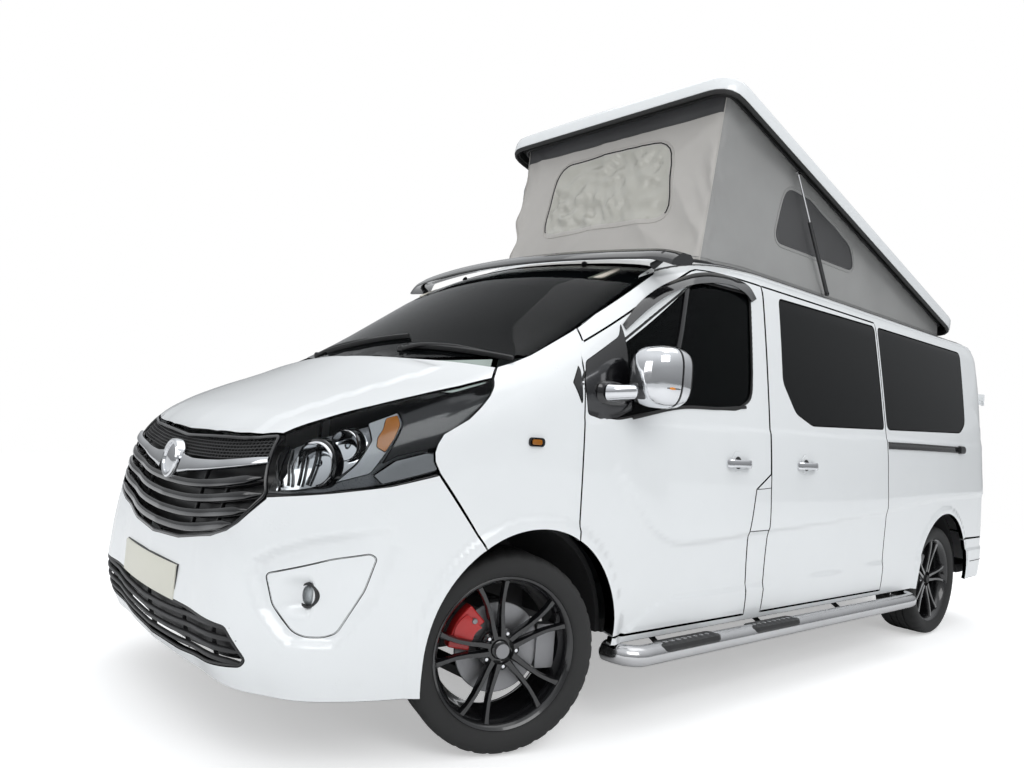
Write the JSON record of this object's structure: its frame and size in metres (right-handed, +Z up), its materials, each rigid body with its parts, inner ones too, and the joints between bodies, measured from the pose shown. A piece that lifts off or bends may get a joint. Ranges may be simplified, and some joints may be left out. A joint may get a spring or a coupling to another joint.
{
  "type": "camper van",
  "caption": "Camper van with a raised rear-hinged sleeping roof, canvas side walls, opening cab and rear doors, steered front wheels and side bars",
  "frame": {"origin": "middle of the van's length and width, on the ground", "axes": "X forward to the nose, Y to the van's left, Z up"},
  "size_m": [5.398, 2.28, 2.8407],
  "materials": {
    "paint_white": "gloss white paint",
    "plastic_black": "grained black plastic",
    "plastic_gloss": "gloss black plastic",
    "glass_clear": "clear glass",
    "glass_dark": "privacy tinted glass",
    "lamp_clear": "clear lamp lens",
    "lamp_red": "red lamp lens",
    "steel_bar": "polished tube",
    "chrome_trim": "bright chrome",
    "tyre_rubber": "tyre rubber",
    "wheel_black": "gloss black alloy",
    "canvas_grey": "woven canvas",
    "chassis_black": "black chassis paint",
    "cast_grey": "cast metal",
    "trim_grey": "grained dark grey plastic",
    "seat_cloth": "seat cloth",
    "furniture_grey": "laminated board",
    "gas_strut_black": "black tube",
    "rod_steel": "ground steel rod"
  },
  "bodies": {
    "body": {"floor_pan": "chassis_black", "body_side_left": "paint_white", "body_side_right": "paint_white", "fixed_roof": "paint_white", "front_wings": "paint_white", "front_bumper": "paint_white", "grilles": "plastic_gloss", "headlamps": "lamp_clear", "scuttle": "plastic_black", "windscreen": "glass_clear", "sun_visor": "plastic_gloss", "side_windows": "glass_dark", "sliding_door": "paint_white", "rear_bumper": "paint_white", "tail_lamps": "lamp_red", "side_bars": "steel_bar", "dashboard": "trim_grey", "front_seats": "seat_cloth", "rear_bench": "seat_cloth", "kitchen_unit": "furniture_grey", "engine_block": "cast_grey", "suspension": "chassis_black", "fuel_tank": "plastic_black", "exhaust": "cast_grey", "canvas": "canvas_grey"},
    "steering_wheel": {"steering_wheel": "trim_grey"},
    "bonnet": {"bonnet": "paint_white"},
    "roof_cover": {"roof_cover": "paint_white"},
    "cab_door_left": {"cab_door_left": "paint_white", "cab_glass_left": "glass_clear", "mirror_left": "chrome_trim"},
    "rear_door_left": {"rear_door_left": "paint_white", "rear_glass_left": "glass_dark"},
    "knuckle_left": {"knuckle_left": "cast_grey"},
    "wheel_front_left": {"wheel_front_left": "wheel_black", "tyre_front_left": "tyre_rubber"},
    "wheel_rear_left": {"wheel_rear_left": "wheel_black", "tyre_rear_left": "tyre_rubber"},
    "strut_cylinder_left": {"strut_cylinder_left": "gas_strut_black"},
    "strut_rod_left": {"strut_rod_left": "rod_steel"},
    "cab_door_right": {"cab_door_right": "paint_white", "cab_glass_right": "glass_clear", "mirror_right": "chrome_trim"},
    "rear_door_right": {"rear_door_right": "paint_white", "rear_glass_right": "glass_dark"},
    "knuckle_right": {"knuckle_right": "cast_grey"},
    "wheel_front_right": {"wheel_front_right": "wheel_black", "tyre_front_right": "tyre_rubber"},
    "wheel_rear_right": {"wheel_rear_right": "wheel_black", "tyre_rear_right": "tyre_rubber"},
    "strut_cylinder_right": {"strut_cylinder_right": "gas_strut_black"},
    "strut_rod_right": {"strut_rod_right": "rod_steel"}
  },
  "joints": [
    {"name": "steer_left", "type": "hinge", "parent": "body", "child": "knuckle_left", "pos_m": [1.766, 0.745, 0.332], "axis": [0, 0, 1], "range_deg": [-18, 54]},
    {"name": "spin_front_left", "type": "hinge", "parent": "knuckle_left", "child": "wheel_front_left", "pos_m": [1.783, 0.79731, 0.332], "axis": [0.309, 0.9511, 0], "continuous": true},
    {"name": "spin_rear_left", "type": "hinge", "parent": "body", "child": "wheel_rear_left", "pos_m": [-1.732, 0.8, 0.332], "axis": [0, 1, 0], "continuous": true},
    {"name": "cab_door_left_hinge", "type": "hinge", "parent": "body", "child": "cab_door_left", "pos_m": [1.594, 0.98, 0.8], "axis": [0, 0, -1], "range_deg": [0, 70]},
    {"name": "rear_door_left_hinge", "type": "hinge", "parent": "body", "child": "rear_door_left", "pos_m": [-2.609, 0.848, 1.2], "axis": [0, 0, -1], "range_deg": [0, 90]},
    {"name": "strut_left_swing", "type": "hinge", "parent": "body", "child": "strut_cylinder_left", "pos_m": [-0.49, 0.731, 1.94], "axis": [0, 1, 0], "range_deg": [0, 55.08]},
    {"name": "strut_left_slide", "type": "slide", "parent": "strut_cylinder_left", "child": "strut_rod_left", "axis": [0.5636, 0, 0.8261], "range_m": [-0.23312, 0]},
    {"name": "steer_right", "type": "hinge", "parent": "body", "child": "knuckle_right", "pos_m": [1.766, -0.745, 0.332], "axis": [0, 0, 1], "range_deg": [-18, 54]},
    {"name": "spin_front_right", "type": "hinge", "parent": "knuckle_right", "child": "wheel_front_right", "pos_m": [1.749, -0.79731, 0.332], "axis": [0.309, 0.9511, 0], "continuous": true},
    {"name": "spin_rear_right", "type": "hinge", "parent": "body", "child": "wheel_rear_right", "pos_m": [-1.732, -0.8, 0.332], "axis": [0, 1, 0], "continuous": true},
    {"name": "cab_door_right_hinge", "type": "hinge", "parent": "body", "child": "cab_door_right", "pos_m": [1.594, -0.98, 0.8], "axis": [0, 0, 1], "range_deg": [0, 70]},
    {"name": "rear_door_right_hinge", "type": "hinge", "parent": "body", "child": "rear_door_right", "pos_m": [-2.609, -0.848, 1.2], "axis": [0, 0, 1], "range_deg": [0, 90]},
    {"name": "strut_right_swing", "type": "hinge", "parent": "body", "child": "strut_cylinder_right", "pos_m": [-0.49, -0.731, 1.94], "axis": [0, 1, 0], "range_deg": [0, 55.08]},
    {"name": "strut_right_slide", "type": "slide", "parent": "strut_cylinder_right", "child": "strut_rod_right", "axis": [0.5636, 0, 0.8261], "range_m": [-0.23312, 0]},
    {"name": "steering_wheel_turn", "type": "hinge", "parent": "body", "child": "steering_wheel", "pos_m": [1.01, -0.4, 1.03], "axis": [-0.6402, 0, 0.7682], "range_deg": [-270.5, 810.5]},
    {"name": "bonnet_hinge", "type": "hinge", "parent": "body", "child": "bonnet", "pos_m": [1.88, 0, 1.2695], "axis": [0, -1, 0], "range_deg": [0, 50]},
    {"name": "roof_lift", "type": "hinge", "parent": "body", "child": "roof_cover", "pos_m": [-2.18, 0, 1.975], "axis": [0, 1, 0], "range_deg": [0, 15.2], "deforming": ["canvas"]}
  ],
  "couplings": [
    {"joint": "steer_right", "follows": "steer_left", "ratio": 1},
    {"joint": "steering_wheel_turn", "follows": "steer_left", "ratio": 15},
    {"joint": "strut_left_swing", "follows": "roof_lift", "ratio": 3.6228},
    {"joint": "strut_left_slide", "follows": "roof_lift", "m_per_rad": -0.87872},
    {"joint": "strut_right_swing", "follows": "roof_lift", "ratio": 3.6228},
    {"joint": "strut_right_slide", "follows": "roof_lift", "m_per_rad": -0.87872}
  ]
}
